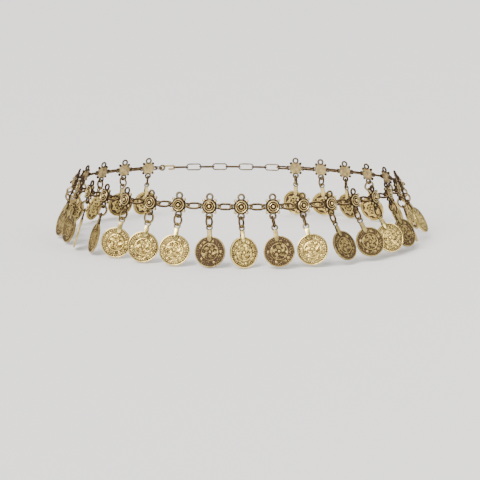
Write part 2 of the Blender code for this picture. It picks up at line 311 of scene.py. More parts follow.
class AgedMetalWithShade:
    """The shader group that all finishes share.

    It is bright metal where the painted patina and shade are low and brown where they are high,
    with more brown where a piece's tarnishing and painted shade are strong.

    Attributes:
        name: The group's name.
        inputs: Its inputs, each with its kind.
        outputs: Its outputs, each with its kind.
        mottle_noise: The mottling's octaves and their strength.
        mottle_range: What the mottling's noise is brought from and to.
        grain_noise: The grain's octaves and their strength.
        grain_range: What the grain's noise is brought from and to in the roughness.
        film_and_shade: How much brown a piece's full tarnishing and painted shade lay on.
        roughness: From rubbed metal to full patina, tarnishing and painted shade.
        metal: The same for how metallic it is.
    """

    name = "aged_metal_with_shade"
    mottle_noise = (5.0, 0.62)
    mottle_range = (0.32, 0.72, -0.20, 0.26)
    grain_noise = (3.0, 0.55)
    grain_range = (0.3, 0.7, -0.06, 0.08)
    film_and_shade = 0.66
    roughness = (0.17, 0.60)
    metal = (1.0, 0.72)
    inputs = (
        ("Bright", "NodeSocketColor"),
        ("Deep", "NodeSocketColor"),
        ("PatinaAndShade", "NodeSocketFloat"),
        ("TarnishAndShade", "NodeSocketFloat"),
        ("Mottle", "NodeSocketFloat"),
        ("Grain", "NodeSocketFloat"),
    )
    outputs = (
        ("Color", "NodeSocketColor"),
        ("Roughness", "NodeSocketFloat"),
        ("Metallic", "NodeSocketFloat"),
        ("Height", "NodeSocketFloat"),
    )

    def __init__(self) -> None:
        """Opens an empty group with its sockets."""
        self.tree = bpy.data.node_groups.new(self.name, "ShaderNodeTree")
        for label, kind in self.inputs:
            self.tree.interface.new_socket(label, in_out="INPUT", socket_type=kind)
        for label, kind in self.outputs:
            self.tree.interface.new_socket(label, in_out="OUTPUT", socket_type=kind)

    def node(self, kind: str, **settings: object) -> bpy.types.Node:
        """A new node of the group.

        Args:
            kind: The node's type.
            **settings: The node's own settings.

        Returns:
            The node.
        """
        made = self.tree.nodes.new(kind)
        for key, value in settings.items():
            setattr(made, key, value)
        return made

    def join(self, source: Socket, target: Socket) -> None:
        """Links two sockets."""
        self.tree.links.new(source, target)

    def noise(self, scale: Socket, detail: float, rough: float) -> Socket:
        """Noise in the piece's own space.

        Args:
            scale: The socket that gives its scale.
            detail: Its octaves.
            rough: How strong the finer ones are.

        Returns:
            The noise's value.
        """
        place = self.node("ShaderNodeTexCoord")
        cloud = self.node("ShaderNodeTexNoise")
        self.join(place.outputs["Object"], cloud.inputs["Vector"])
        self.join(scale, cloud.inputs["Scale"])
        cloud.inputs["Detail"].default_value = detail
        cloud.inputs["Roughness"].default_value = rough
        return cloud.outputs["Fac"]

    def spread(self, value: Socket, *limits: float) -> Socket:
        """A value brought from one range to another.

        Args:
            value: The value.
            *limits: The range's two ends before, and then after.

        Returns:
            The value in its new range.
        """
        change = self.node("ShaderNodeMapRange")
        self.join(value, change.inputs["Value"])
        for label, limit in zip(("From Min", "From Max", "To Min", "To Max"), limits):
            change.inputs[label].default_value = limit
        return change.outputs["Result"]

    def maths(
        self, operation: str, first: Socket, second: Socket | float, clamp: bool = False
    ) -> Socket:
        """A sum on two values.

        Args:
            operation: The Math node's operation.
            first: The first value.
            second: The second value, or a number.
            clamp: Whether the answer is kept between nought and one.

        Returns:
            The answer.
        """
        made = self.node("ShaderNodeMath", operation=operation, use_clamp=clamp)
        self.join(first, made.inputs[0])
        if isinstance(second, Socket):
            self.join(second, made.inputs[1])
        else:
            made.inputs[1].default_value = second
        return made.outputs[0]

    def build(self) -> bpy.types.NodeTree:
        """Fills the group.

        Returns:
            The group's tree.
        """
        given = self.node("NodeGroupInput").outputs
        out = self.node("NodeGroupOutput").inputs
        mottle = self.spread(self.noise(given["Mottle"], *self.mottle_noise), *self.mottle_range)
        grain = self.noise(given["Grain"], *self.grain_noise)
        # Painted patina and shade plus the mottling, then each piece's tarnishing and painted
        # shade.
        grime_and_shade = self.maths("ADD", given["PatinaAndShade"], mottle)
        film_and_shade = self.maths("MULTIPLY", given["TarnishAndShade"], self.film_and_shade)
        age_and_shade = self.maths("ADD", grime_and_shade, film_and_shade, clamp=True)
        colour = self.node("ShaderNodeMix", data_type="RGBA")
        self.join(age_and_shade, colour.inputs["Factor"])
        self.join(given["Bright"], colour.inputs["A"])
        self.join(given["Deep"], colour.inputs["B"])
        self.join(colour.outputs["Result"], out["Color"])
        speckle = self.spread(grain, *self.grain_range)
        rough = self.spread(age_and_shade, 0.0, 1.0, *self.roughness)
        self.join(self.maths("ADD", rough, speckle), out["Roughness"])
        self.join(self.spread(age_and_shade, 0.0, 1.0, *self.metal), out["Metallic"])
        self.join(grain, out["Height"])
        return self.tree


@dataclass(frozen=True)
class GoldFinish:
    """One finish of antique gold.

    Attributes:
        name: The material's name.
        slot: The record's material slot that it belongs to; not used.
        bright: The colour of rubbed metal.
        deep: The colour of the patina left in the hollows, also used for the painted shade.
        mottle: The scale of the mottling, per metre.
        grain: The scale of the casting's or the drawing's grain, per metre.
        relief: The depth of that grain.
        bump: How strongly the grain shows.
    """

    name: str
    slot: str
    bright: Colour
    deep: Colour
    mottle: float
    grain: float
    relief: float
    bump: float = 0.35

    def material(self) -> bpy.types.Material:
        """The finish's material, made when first asked for.

        Returns:
            The material.
        """
        known = bpy.data.materials.get(self.name)
        if known:
            return known
        made = bpy.data.materials.new(self.name)
        made.use_nodes = True
        tree = made.node_tree
        shader = tree.nodes["Principled BSDF"]
        group = tree.nodes.new("ShaderNodeGroup")
        group.node_tree = bpy.data.node_groups.get(AgedMetalWithShade.name) or AgedMetalWithShade().build()
        group.inputs["Bright"].default_value = (*self.bright, 1.0)
        group.inputs["Deep"].default_value = (*self.deep, 1.0)
        group.inputs["Mottle"].default_value = self.mottle
        group.inputs["Grain"].default_value = self.grain
        for label, name in (("PatinaAndShade", PATINA_AND_SHADE), ("TarnishAndShade", TARNISH_AND_SHADE)):
            reader = tree.nodes.new("ShaderNodeAttribute")
            reader.attribute_name = name
            tree.links.new(reader.outputs["Fac"], group.inputs[label])
        bump = tree.nodes.new("ShaderNodeBump")
        bump.inputs["Strength"].default_value = self.bump
        bump.inputs["Distance"].default_value = self.relief
        tree.links.new(group.outputs["Height"], bump.inputs["Height"])
        tree.links.new(bump.outputs["Normal"], shader.inputs["Normal"])
        tree.links.new(group.outputs["Color"], shader.inputs["Base Color"])
        for label in ("Roughness", "Metallic"):
            tree.links.new(group.outputs[label], shader.inputs[label])
        made.diffuse_color = (*self.bright, 1.0)
        return made


CAST_GOLD = GoldFinish(
    name="antique_cast",
    slot="cast_gold",
    bright=(0.98, 0.75, 0.34),
    deep=(0.034, 0.016, 0.006),
    mottle=420,
    grain=5200,
    relief=0.00004,
)
COIN_GOLD = GoldFinish(
    name="antique_coin",
    slot="coin_gold",
    bright=(0.96, 0.73, 0.225),
    deep=(0.070, 0.042, 0.023),
    mottle=300,
    grain=4200,
    relief=0.00003,
)
WIRE_GOLD = GoldFinish(
    name="antique_wire",
    slot="wire_gold",
    bright=(0.84, 0.61, 0.25),
    deep=(0.050, 0.024, 0.008),
    mottle=350,
    grain=6000,
    relief=0.00002,
)
STRIP_GOLD = GoldFinish(
    name="antique_strip",
    slot="wire_gold",
    bright=(0.98, 0.77, 0.28),
    deep=(0.060, 0.034, 0.012),
    mottle=380,
    grain=6400,
    relief=0.00002,
)


@dataclass
class Part:
    """A mesh on its way into a piece.

    Attributes:
        mesh: The mesh in its own frame.
        place: Where it goes.
        finish: Its finish.
        tarnish_and_shade: How dark and dull it is, from 0 to 1: tarnishing, and painted shade on
            some pieces.
    """

    mesh: bpy.types.Mesh
    place: Matrix
    finish: GoldFinish
    tarnish_and_shade: float = 0.0


def new_object(name: str, data: bpy.types.ID) -> bpy.types.Object:
    """An object that stands in the scene.

    Args:
        name: The object's name.
        data: Its mesh, lamp or camera.

    Returns:
        The object, at the origin.
    """
    made = bpy.data.objects.new(name, data)
    bpy.context.scene.collection.objects.link(made)
    return made


def assemble(name: str, parts: list[Part]) -> bpy.types.Object:
    """One piece from several parts.

    Args:
        name: The piece's name.
        parts: Its parts. Their meshes are copied, so that they can be used again.

    Returns:
        The piece, at the origin with its place in its mesh.
    """
    shape = bmesh.new()
    finishes: list[GoldFinish] = []
    for part in parts:
        if part.finish not in finishes:
            finishes.append(part.finish)
        mesh = part.mesh.copy()
        mesh.transform(part.place)
        index = finishes.index(part.finish)
        mesh.polygons.foreach_set("material_index", [index] * len(mesh.polygons))
        paint(mesh, TARNISH_AND_SHADE, part.tarnish_and_shade)
        shape.from_mesh(mesh)
        bpy.data.meshes.remove(mesh)
    joined = bpy.data.meshes.new(name)
    shape.to_mesh(joined)
    shape.free()
    for finish in finishes:
        joined.materials.append(finish.material())
    joined.shade_smooth()
    joined.set_sharp_from_angle(angle=SMOOTH_ANGLE)
    return new_object(name, joined)


def hand_over(piece: bpy.types.Object, body: str, node: str) -> None:
    """Lets a piece stand for its solid.

    Args:
        piece: The piece.
        body: The body that it rides on.
        node: The solid's node.
    """
    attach(piece, body)
    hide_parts(node)
    LOG.info("%s stands for %s, %d faces", piece.name, node, len(piece.data.polygons))


@dataclass
class WaistLine:
    """The closed line that the chain follows, and the places of the units on it.

    Attributes:
        half_width: Half of the waist's width.
        front_depth: From the widest line to the front.
        back_depth: From the widest line to the back.
        steps: Steps of the line.
        units: Medallions on the belt.
        pitch: From one medallion to the next.
        front_unit: The medallion nearest to the front.
        front_offset: How far that medallion is past the front.
        front_lean: How far the front medallions lean in at the top.
        side_lean: The same at the sides.
        heading_share: The share of the pitch on each side over which the line's direction is taken.
        run: The way to each step of the line, from the front.
        across: The X of each step.
        inward: The Y of each step.
    """

    half_width: float = 0.1190
    front_depth: float = 0.1140
    back_depth: float = 0.0750
    steps: int = 4000
    units: int = 28
    pitch: float = 0.0206
    front_unit: int = 14
    front_offset: float = 0.0033
    front_lean: float = radians(8)
    side_lean: float = radians(22)
    heading_share: float = 1 / 20
    run: np.ndarray = field(init=False, repr=False)
    across: np.ndarray = field(init=False, repr=False)
    inward: np.ndarray = field(init=False, repr=False)

    def __post_init__(self) -> None:
        """Works out the line once."""
        angle = np.linspace(-pi, pi, self.steps + 1)
        depth = np.where(np.cos(angle) > 0, self.front_depth, self.back_depth)
        self.across = self.half_width * np.sin(angle)
        self.inward = -depth * np.cos(angle) - (self.back_depth - self.front_depth) / 2
        pieces = np.hypot(np.diff(self.across), np.diff(self.inward))
        self.run = np.concatenate([[0.0], np.cumsum(pieces)])
        self.run -= np.interp(0.0, angle, self.run)

    @property
    def length(self) -> float:
        """The way once round."""
        return self.run[-1] - self.run[0]

    def point(self, along: float) -> Vector:
        """The point of the line at a distance.

        Args:
            along: The distance from the front, to the right as the wearer's front is seen.

        Returns:
            The point.
        """
        along = (along - self.run[0]) % self.length + self.run[0]
        across, inward = (np.interp(along, self.run, axis) for axis in (self.across, self.inward))
        return Vector((across, inward, 0.0))

    def heading(self, along: float) -> float:
        """The angle from +X to the belt's direction.

        Args:
            along: The distance from the front.

        Returns:
            The angle.
        """
        reach = self.pitch * self.heading_share
        step = self.point(along + reach) - self.point(along - reach)
        return atan2(step.y, step.x)

    def distance(self, unit: int) -> float:
        """How far along a medallion is."""
        return (unit - self.front_unit) * self.pitch + self.front_offset

    def station(self, along: float) -> Matrix:
        """The frame of a place on the line, its top leaned in to the hips' slope.

        Args:
            along: The distance from the front.

        Returns:
            The frame, with X along the belt.
        """
        heading = self.heading(along)
        lean = self.front_lean + (self.side_lean - self.front_lean) * sin(heading) ** 2
        turn = Matrix.Rotation(heading, 4, "Z") @ Matrix.Rotation(-lean, 4, "X")
        return Matrix.Translation(self.point(along)) @ turn

    def medallion(self, unit: int) -> Matrix:
        """The frame of a medallion."""
        return self.station(self.distance(unit))


@dataclass
class Rosette:
    """A cast rosette: a plate, dark with patina and painted shade, with a ringed dome,
    four beads on its diagonals and four loops.

    Attributes:
        plate_radius: The plate between its loops.
        plate_half: Half of its thickness.
        plate_corner: Two places on the rounding of its edge, in from the edge and out from its
            middle, in shares of plate_half.
        plate_front: Between which heights the patina and painted shade of its face start, in the
        same shares.
        drop_hole_centre: From the middle to the middle of the upper and lower loops.
        drop_hole_radius: Their holes.
        side_hole_centre: From the middle to the middle of the side loops.
        side_hole_radius: Their holes.
        drop_rim: How wide the solid's upper and lower loops are round their holes.
        side_rim: The same for its side loops.
        drop_wire: Half of the rounded upper and lower loops' thickness.
        side_wire: Half of the rounded side loops' thickness.
        bead_centre: From the middle to a bead.
        bead_radius: A bead's radius.
        bead_lift: How far its middle stands before the plate's.
        bead_foot: Between which depths it goes over into painted shade, which leaves only its
        front cap bright.
        bead_steps: Its segments round and from end to end.
        bead_shade: How dark the painted shade is at its foot.
        dome: Radius, height over the plate's middle and darkness of its rings, from the tip out:
            patina in the grooves and painted shade down the outer wall.
        dome_foot: Between which depths the dome goes over into painted shade where it meets the
            plate.
        groove: The radius of the dome's outer groove.
        groove_width: Its width.
        teeth: The bars that cross it.
        tooth_height: How high they stand.
        tooth_fall: How steeply they fall off to their sides.
        back_shade: How dark the plate's back is.
        steps: Steps of the dome's turn.
        dome_tarnish: How dull the dome is.
        bead_tarnish: The same for the beads.
        loop_tarnish_and_shade: The same for the loops, darker still as painted shade for their
            shaded sides.
    """

    plate_radius: float = 0.0050
    plate_half: float = 0.0004
    plate_corner: tuple[Pair, Pair] = ((0.6, 1.0), (0.2, 0.7))
    plate_front: Pair = (-0.5, 0.6)
    drop_hole_centre: float = 0.0061
    drop_hole_radius: float = 0.0014
    side_hole_centre: float = 0.0058
    side_hole_radius: float = 0.00105
    drop_rim: float = 0.0010
    side_rim: float = 0.0007
    drop_wire: float = 0.00068
    side_wire: float = 0.00050
    bead_centre: float = 0.00535
    bead_radius: float = 0.00105
    bead_lift: float = 0.00035
    bead_foot: Pair = (-0.0008, 0.0001)
    bead_steps: tuple[int, int] = (14, 8)
    bead_shade: float = 1.1
    dome: tuple[Triple, ...] = (
        (0.0, 0.00290, 0.0),
        (0.00040, 0.00284, 0.0),
        (0.00072, 0.00262, 0.0),
        (0.00094, 0.00228, 0.10),
        (0.00104, 0.00185, 0.70),
        (0.00112, 0.00120, 1.2),
        (0.00136, 0.00088, 1.3),
        (0.00166, 0.00092, 1.3),
        (0.00180, 0.00142, 0.90),
        (0.00192, 0.00184, 0.15),
        (0.00214, 0.00202, 0.0),
        (0.00236, 0.00190, 0.10),
        (0.00250, 0.00148, 0.90),
        (0.00262, 0.00104, 1.2),
        (0.00296, 0.00098, 1.2),
        (0.00310, 0.00132, 0.80),
        (0.00324, 0.00164, 0.10),
        (0.00350, 0.00176, 0.0),
        (0.00375, 0.00162, 0.15),
        (0.00391, 0.00130, 0.80),
        (0.00401, 0.00096, 1.1),
        (0.00405, 0.00060, 1.2),
        (0.00405, 0.00030, 1.3),
    )
    dome_foot: Pair = (-0.0009, -0.0004)
    groove: float = 0.00279
    groove_width: float = 0.00016
    teeth: int = 8
    tooth_height: float = 0.00022
    tooth_fall: int = 3
    back_shade: float = 0.3
    steps: int = 48
    dome_tarnish: float = 0.30
    bead_tarnish: float = 0.45
    loop_tarnish_and_shade: float = 0.85

    def dome_mesh(self) -> bpy.types.Mesh:
        """The dome, with patina painted in its grooves and painted shade on its outer wall and
        foot.

        Returns:
            A closed mesh whose foot is inside the plate.
        """
        profile = [(radius, -height) for radius, height, _ in self.dome]
        mesh = turned("dome", profile + [(0.0, 0.0)], self.steps)
        places = coordinates(mesh)
        radius = np.hypot(places[:, 0], places[:, 2])
        angle = np.arctan2(places[:, 2], places[:, 0])
        radii, _, patina_and_shade = zip(*self.dome)
        groove = ridge(radius - self.groove, self.groove_width)
        bar = groove * np.clip(np.cos(self.teeth * angle), 0, 1) ** self.tooth_fall
        places[:, 1] -= self.tooth_height * bar
        move_vertices(mesh, places)
        shade = np.interp(radius, radii, patina_and_shade) * (1 - bar / 2)
        # Painted shade at the foot, where the dome meets the plate.
        foot = smooth_step(places[:, 1], *self.dome_foot)
        paint(mesh, PATINA_AND_SHADE, np.maximum(shade, foot))
        return mesh

    def plate_mesh(self) -> bpy.types.Mesh:
        """The plate below the dome, with a rounded edge.

        Returns:
            A closed disc, dark on its face with patina and painted shade, and plain on its back.
        """
        edge = self.plate_radius
        half = self.plate_half
        corner = [(edge - inward * half, -out * half) for inward, out in self.plate_corner]
        front = [(0, -half), *corner]
        profile = [*front, (edge, 0), *((radius, -y) for radius, y in reversed(front))]
        mesh = turned("plate", profile, self.steps)
        # The face is painted dark: patina, and painted shade for the gaps round the dome.
        start, full = (share * half for share in self.plate_front)
        paint(mesh, PATINA_AND_SHADE, self.back_shade + smooth_step(-coordinates(mesh)[:, 1], start, full))
        return mesh

    def bead_mesh(self) -> bpy.types.Mesh:
        """One bead.

        Returns:
            A closed ball with painted shade towards the plate, bright only on its front cap.
        """
        shape = bmesh.new()
        round_steps, high_steps = self.bead_steps
        bmesh.ops.create_uvsphere(
            shape, u_segments=round_steps, v_segments=high_steps, radius=self.bead_radius
        )
        mesh = closed_mesh("bead", shape)
        # Painted shade: dark towards the plate, so that only the front cap is bright.
        depth = coordinates(mesh)[:, 1]
        paint(mesh, PATINA_AND_SHADE, self.bead_shade * smooth_step(depth, *self.bead_foot))
        return mesh

    def build(self) -> list[Part]:
        """The rosette's parts in its own frame.

        Returns:
            The parts, which all have the cast finish.
        """
        solid_parts = (self.plate_mesh(), self.dome_mesh())
        parts = [Part(mesh, Matrix(), CAST_GOLD, self.dome_tarnish) for mesh in solid_parts]
        bead = self.bead_mesh()
        bead_place = Matrix.Translation((self.bead_centre, -self.bead_lift, 0))
        side_reach = self.side_hole_radius + self.side_rim / 2
        drop_reach = self.drop_hole_radius + self.drop_rim / 2
        side_loop = RoundWire(side_reach, self.side_wire, steps=24).build("side_loop")
        drop_loop = RoundWire(drop_reach, self.drop_wire, steps=28).build("drop_loop")
        loops = ((side_loop, self.side_hole_centre), (drop_loop, self.drop_hole_centre))
        for quarter in range(4):
            loop, reach = loops[quarter % 2]
            place = Matrix.Rotation(-quarter * pi / 2, 4, "Y") @ Matrix.Translation((reach, 0, 0))
            parts.append(Part(loop, place, CAST_GOLD, self.loop_tarnish_and_shade))
            diagonal = Matrix.Rotation(-(quarter + 0.5) * pi / 2, 4, "Y")
            parts.append(Part(bead, diagonal @ bead_place, CAST_GOLD, self.bead_tarnish))
        return parts


@dataclass
class Medallions:
    """The rosettes all round, each with the oval link on its right.

    Attributes:
        waist: The line that they follow.
        rosette: The rosette that they share.
        link_wire: Half of the link's thickness.
        link_half_width: From the link's middle to the wire at its sides.
        link_roll: How far it is rolled from lying flat.
        seat_gap: The play at a seat.
        link_tarnish: How dull the links are.
        side_darkening: How much darker and duller the belt is towards its sides.
    """

    waist: WaistLine
    rosette: Rosette = field(default_factory=Rosette)
    link_wire: float = 0.00072
    link_half_width: float = 0.0031
    link_roll: float = radians(32)
    seat_gap: float = 0.0001
    link_tarnish: float = 0.35
    side_darkening: float = 0.45

    @property
    def link_seat(self) -> float:
        """The seat of a link.

        Returns:
            From a rosette's middle to the middle of the link's wire in its side loop.
        """
        loop = self.rosette
        bar = loop.side_hole_centre + loop.side_hole_radius + loop.side_rim / 2
        return bar - loop.side_wire - self.link_wire

    def dress(self) -> None:
        """Builds every medallion and lets it stand for its solid."""
        shared = self.rosette.build()
        for unit in range(1, self.waist.units + 1):
            here = self.waist.medallion(unit)
            there = self.waist.medallion(unit + 1)
            start = Vector((self.link_seat, 0, 0))
            end = here.inverted() @ there @ Vector((self.seat_gap - self.link_seat, 0, 0))
            wire = RoundWire((end - start).length / 2, self.link_wire, self.link_half_width)
            link = wire.between("link", start, end, self.link_roll)
            # Darker towards the sides of the belt, by the square of the sine of its heading.
            dull = self.side_darkening * sin(self.waist.heading(self.waist.distance(unit))) ** 2
            parts = [
                Part(part.mesh, here @ part.place, part.finish, part.tarnish_and_shade + dull)
                for part in shared
            ]
            parts.append(Part(link, here, WIRE_GOLD, self.link_tarnish + dull))
            piece = assemble(f"rosette_{unit:02d}", parts)
            hand_over(piece, CHAIN_BODY, f"medallion_{unit:02d}")


@dataclass(frozen=True)
class Band:
    """A rounded ring round the middle of a coin, in shares of its field.

    Attributes:
        reach: Its radius.
        width: Its width.
    """

    reach: float
    width: float

    def at(self, reach: np.ndarray) -> np.ndarray:
        """How strong the band is at distances from the coin's middle, from 0 to 1."""
        return ridge(reach - self.reach, self.width)


@dataclass
class Coin:
    """A struck coin with a raised rim and an ornament in relief on both faces.

    The coin's own sizes are in metres. Those of its ornament are shares of its field's radius.

    Attributes:
        radius: The coin's radius.
        half: Half of its thickness at the rim.
        field_radius: The field inside the rim.
        sunk: How far the field lies below the rim.
        relief: The height of the ornament.
        field_shade: How dark the field is between the ornaments.
        rub: How much tarnishing is rubbed off the rim.
        low_heights: Between which heights of the ornament the field's dark ends.
        high_heights: Between which heights its tops are rubbed.
        rim_start: Where the field goes over into the rim.
        ornament_end: Where the ornament ends.
        foot: The foot of the rim.
        foot_shade: How dark it is.
        edge_shade: How dark the coin's edge is.
        edge_width: How far from the edge that starts.
        shade_start: How near to the tongue its painted shadow on the field is full.
        shade_reach: How far that painted shadow goes.
        tongue_shade: How dark that painted shadow is.
        tongue_slope: How much higher the tongue's end lies to the side, for each metre aside.
        crest: The rim's corners, as shares of its width and of the field's depth.
        tendril_waves: Waves and crossing waves of the tendrils, and how those are shifted.
        tendril_wander: How far the tendrils wind.
        tendril_width: Their width.
        tendril_end: Where they end.
        soft_edge: Over which width forms rise.
        pearls: Pearls in the border of the face.
        pearl_wave: Its middle height, and how much the pearls add and take.
        pearl_band: That border.
        knot_band: The ring round the knot.
        knot_height: Its height.
        knot_moat: The low band round that.
        leaves: Leaves of the knot, and buds round it.
        leaf_turn: How far the first leaf is turned.
        leaf_middle: From the coin's middle to a leaf's.
        leaf_half: Half of a leaf's length and width.
        leaf_bend: How far a leaf is bent to and fro, and its waves.
        leaf_edge: Over which share of it a leaf rises.
        vein_width: The width of its vein.
        vein_start: Where the vein starts and is full.
        vein_depth: How deep it is.
        bud_place: From the middle to a bud, out and aside.
        bud_radius: A bud's radius.
        bud_edge: Over which width it rises.
        heart_radius: The radius of the knot's middle.
        heart_moat: The low band round that.
        back_band: The border of the back.
        back_heart: The width of the knob in its middle.
        star_line: The star's line, from the middle of one of its sides.
        dot_reach: From the middle to a dot of the back.
        dot_width: A dot's width.
        dot_height: Its height.
        petals: Petals of the flower on the back.
        petal_band: The flower's line.
        petal_swing: How far it swings in and out.
        steps: Steps of the turn.
        face_rings: Rings of the face.
        back_rings: Rings of the back.
    """

    radius: float = 0.0102
    half: float = 0.0007
    field_radius: float = 0.0093
    sunk: float = 0.00036
    relief: float = 0.00040
    field_shade: float = 0.85
    rub: float = 0.36
    low_heights: Pair = (0.1, 0.8)
    high_heights: Pair = (0.6, 1.0)
    rim_start: Pair = (0.995, 1.02)
    ornament_end: float = 0.99
    foot: Band = Band(0.985, 0.025)
    foot_shade: float = 0.9
    edge_shade: float = 0.5
    edge_width: float = 0.00025
    shade_start: float = 0.0001
    shade_reach: float = 0.0007
    tongue_shade: float = 1.1
    tongue_slope: float = 0.6
    crest: tuple[Pair, ...] = (
        (0.22, 0.15),
        (0.42, 0.0),
        (0.72, 0.0),
        (0.94, 0.35),
        (1.0, 0.9),
    )
    tendril_waves: tuple[Triple, Triple] = ((25, 12, 1.0), (27, 13, 2.0))
    tendril_wander: float = 2.2
    tendril_width: float = 0.52
    tendril_end: float = 0.88
    soft_edge: float = 0.04
    pearls: int = 36
    pearl_wave: Pair = (0.45, 0.55)
    pearl_band: Band = Band(0.925, 0.035)
    knot_band: Band = Band(0.585, 0.030)
    knot_height: float = 0.9
    knot_moat: Band = Band(0.65, 0.028)
    leaves: int = 5
    leaf_turn: float = 0.3
    leaf_middle: float = 0.31
    leaf_half: Pair = (0.20, 0.105)
    leaf_bend: Pair = (0.10, 7)
    leaf_edge: float = 0.35
    vein_width: float = 0.022
    vein_start: Pair = (0.16, 0.24)
    vein_depth: float = 0.55
    bud_place: Pair = (0.77, 0.05)
    bud_radius: float = 0.115
    bud_edge: float = 0.05
    heart_radius: float = 0.105
    heart_moat: Band = Band(0.125, 0.03)
    back_band: Band = Band(0.93, 0.040)
    back_heart: float = 0.09
    star_line: Band = Band(0.52, 0.055)
    dot_reach: float = 0.76
    dot_width: float = 0.065
    dot_height: float = 0.85
    petals: int = 8
    petal_band: Band = Band(0.30, 0.050)
    petal_swing: float = 0.07
    steps: int = 168
    face_rings: int = 40
    back_rings: int = 24

    def profile(self) -> list[Pair]:
        """The coin's outline, from the middle of its face over the rim to the middle of its back.

        Returns:
            Points of radius and y.
        """
        floor = self.half - self.sunk
        rim = self.radius - self.field_radius
        field_steps = self.field_radius / self.face_rings, self.field_radius / self.back_rings
        face = [(ring * field_steps[0], -floor) for ring in range(self.face_rings + 1)]
        back = [(ring * field_steps[1], floor) for ring in range(self.back_rings, -1, -1)]
        crest = [
            (self.field_radius + out * rim, down * self.sunk - self.half)
            for out, down in self.crest
        ]
        return face + crest + [(radius, -y) for radius, y in reversed(crest)] + back

    def tendrils(self, across: np.ndarray, up: np.ndarray) -> np.ndarray:
        """Fine winding tendrils, which fill a surface with no start and no end.

        Args:
            across: The coordinate across, as a share of the field.
            up: The coordinate up.

        Returns:
            The height, from 0 to 1.
        """
        first, second = (
            np.sin(waves * one + self.tendril_wander * np.sin(crossing * other + shift))
            for (waves, crossing, shift), one, other in zip(
                self.tendril_waves, (across, up), (up, across)
            )
        )
        return ridge(first + second, self.tendril_width)

    def face_ornament(self, reach: np.ndarray, angle: np.ndarray) -> np.ndarray:
        """A knot of five leaves in a ring, with tendrils, buds and a border of pearls round it.

        Args:
            reach: Distance from the middle as a share of the field.
            angle: Angle round the middle.

        Returns:
            The height, from 0 to 1.
        """
        across, up = reach * np.cos(angle), reach * np.sin(angle)
        level, wave = self.pearl_wave
        pearls = (level + wave * np.cos(self.pearls * angle)) * self.pearl_band.at(reach)
        rings = np.maximum(pearls, self.knot_height * self.knot_band.at(reach))
        fine = self.tendrils(across, up)
        fine *= smooth_step(self.tendril_end - reach, 0.0, self.soft_edge)
        height = np.maximum(rings, fine)
        height *= 1 - self.knot_moat.at(reach)
        bend, bends = self.leaf_bend
        for leaf in range(self.leaves):
            turn = 2 * pi * leaf / self.leaves + self.leaf_turn
            out = across * cos(turn) + up * sin(turn)
            side = up * cos(turn) - across * sin(turn)
            bent = side + bend * np.sin(bends * out)
            length, width = self.leaf_half
            blade = 1 - np.hypot((out - self.leaf_middle) / length, bent / width)
            blade = smooth_step(blade, 0.0, self.leaf_edge)
            vein = ridge(bent, self.vein_width) * smooth_step(out, *self.vein_start)
            height = np.maximum(height * (1 - blade), blade * (1 - self.vein_depth * vein))
            apart = np.hypot(out - self.bud_place[0], side - self.bud_place[1])
            bud = smooth_step(self.bud_radius - apart, 0.0, self.bud_edge)
            height = np.maximum(height, bud)
        heart = smooth_step(self.heart_radius - reach, 0.0, self.soft_edge)
        return np.maximum(height * (1 - self.heart_moat.at(reach)), heart)

    def back_ornament(self, reach: np.ndarray, angle: np.ndarray) -> np.ndarray:
        """Two squares laid over each other as an eight-pointed star, with dots and a flower.

        Args:
            reach: Distance from the middle as a share of the field.
            angle: Angle round the middle.

        Returns:
            The height, from 0 to 1.
        """
        height = np.maximum(ridge(reach, self.back_heart), self.back_band.at(reach))
        for offset in (0.0, pi / 4):
            side = np.cos((angle + offset) % (pi / 2) - pi / 4)
            height = np.maximum(height, self.star_line.at(reach * side))
            dot = (angle + offset + pi / 4) % (pi / 2) - pi / 4
            apart = np.hypot(reach * np.cos(dot) - self.dot_reach, reach * np.sin(dot))
            height = np.maximum(height, self.dot_height * ridge(apart, self.dot_width))
        swing = self.petal_swing * np.cos(self.petals * angle)
        return np.maximum(height, self.petal_band.at(reach - swing))

    def build(self) -> bpy.types.Mesh:
        """A coin round the origin.

        Returns:
            The closed mesh, dark between the ornaments.
        """
        mesh = turned("coin", self.profile(), self.steps)
        places = coordinates(mesh)
        radius = np.hypot(places[:, 0], places[:, 2])
        reach = radius / self.field_radius
        angle = np.arctan2(places[:, 2], places[:, 0])
        on_face = places[:, 1] < 0
        ornaments = self.face_ornament(reach, angle), self.back_ornament(reach, angle)
        height = np.clip(np.where(on_face, *ornaments), 0, 1) * (reach < self.ornament_end)
        places[:, 1] += np.where(on_face, -1, 1) * self.relief * height
        move_vertices(mesh, places)
        on_rim = smooth_step(reach, *self.rim_start)
        on_edge = smooth_step(radius, self.radius - self.edge_width, self.radius)
        low = self.field_shade * (1 - smooth_step(height, *self.low_heights))
        low -= self.rub / 2 * smooth_step(height, *self.high_heights)
        foot = self.foot_shade * self.foot.at(reach)
        shade = (low + foot) * (1 - on_rim) - self.rub * on_rim + self.edge_shade * on_edge
        paint(mesh, PATINA_AND_SHADE, shade)
        return mesh

    def paint_tongue_shadow(self, mesh: bpy.types.Mesh, half_width: float, overlap: float) -> None:
        """Paints the tongue's shadow on the field, along the edges of the tongue that lies on it.

        Args:
            mesh: The coin, its top up.
            half_width: Half of the tongue's width.
            overlap: How far the tongue comes down over the coin.
        """
        places = coordinates(mesh)
        patina_and_shade = np.zeros(len(mesh.vertices), np.float32)
        mesh.attributes[PATINA_AND_SHADE].data.foreach_get("value", patina_and_shade)
        beside = np.abs(places[:, 0]) - half_width
        point = self.radius - overlap + self.tongue_slope * np.abs(places[:, 0])
        below = point - places[:, 2]
        apart = np.maximum(beside, below)
        shade = self.tongue_shade * (1 - smooth_step(apart, self.shade_start, self.shade_reach))
        reach = np.hypot(places[:, 0], places[:, 2])
        on_rim = smooth_step(reach, self.field_radius, self.radius)
        paint(mesh, PATINA_AND_SHADE, np.maximum(patina_and_shade, shade * (1 - on_rim)))


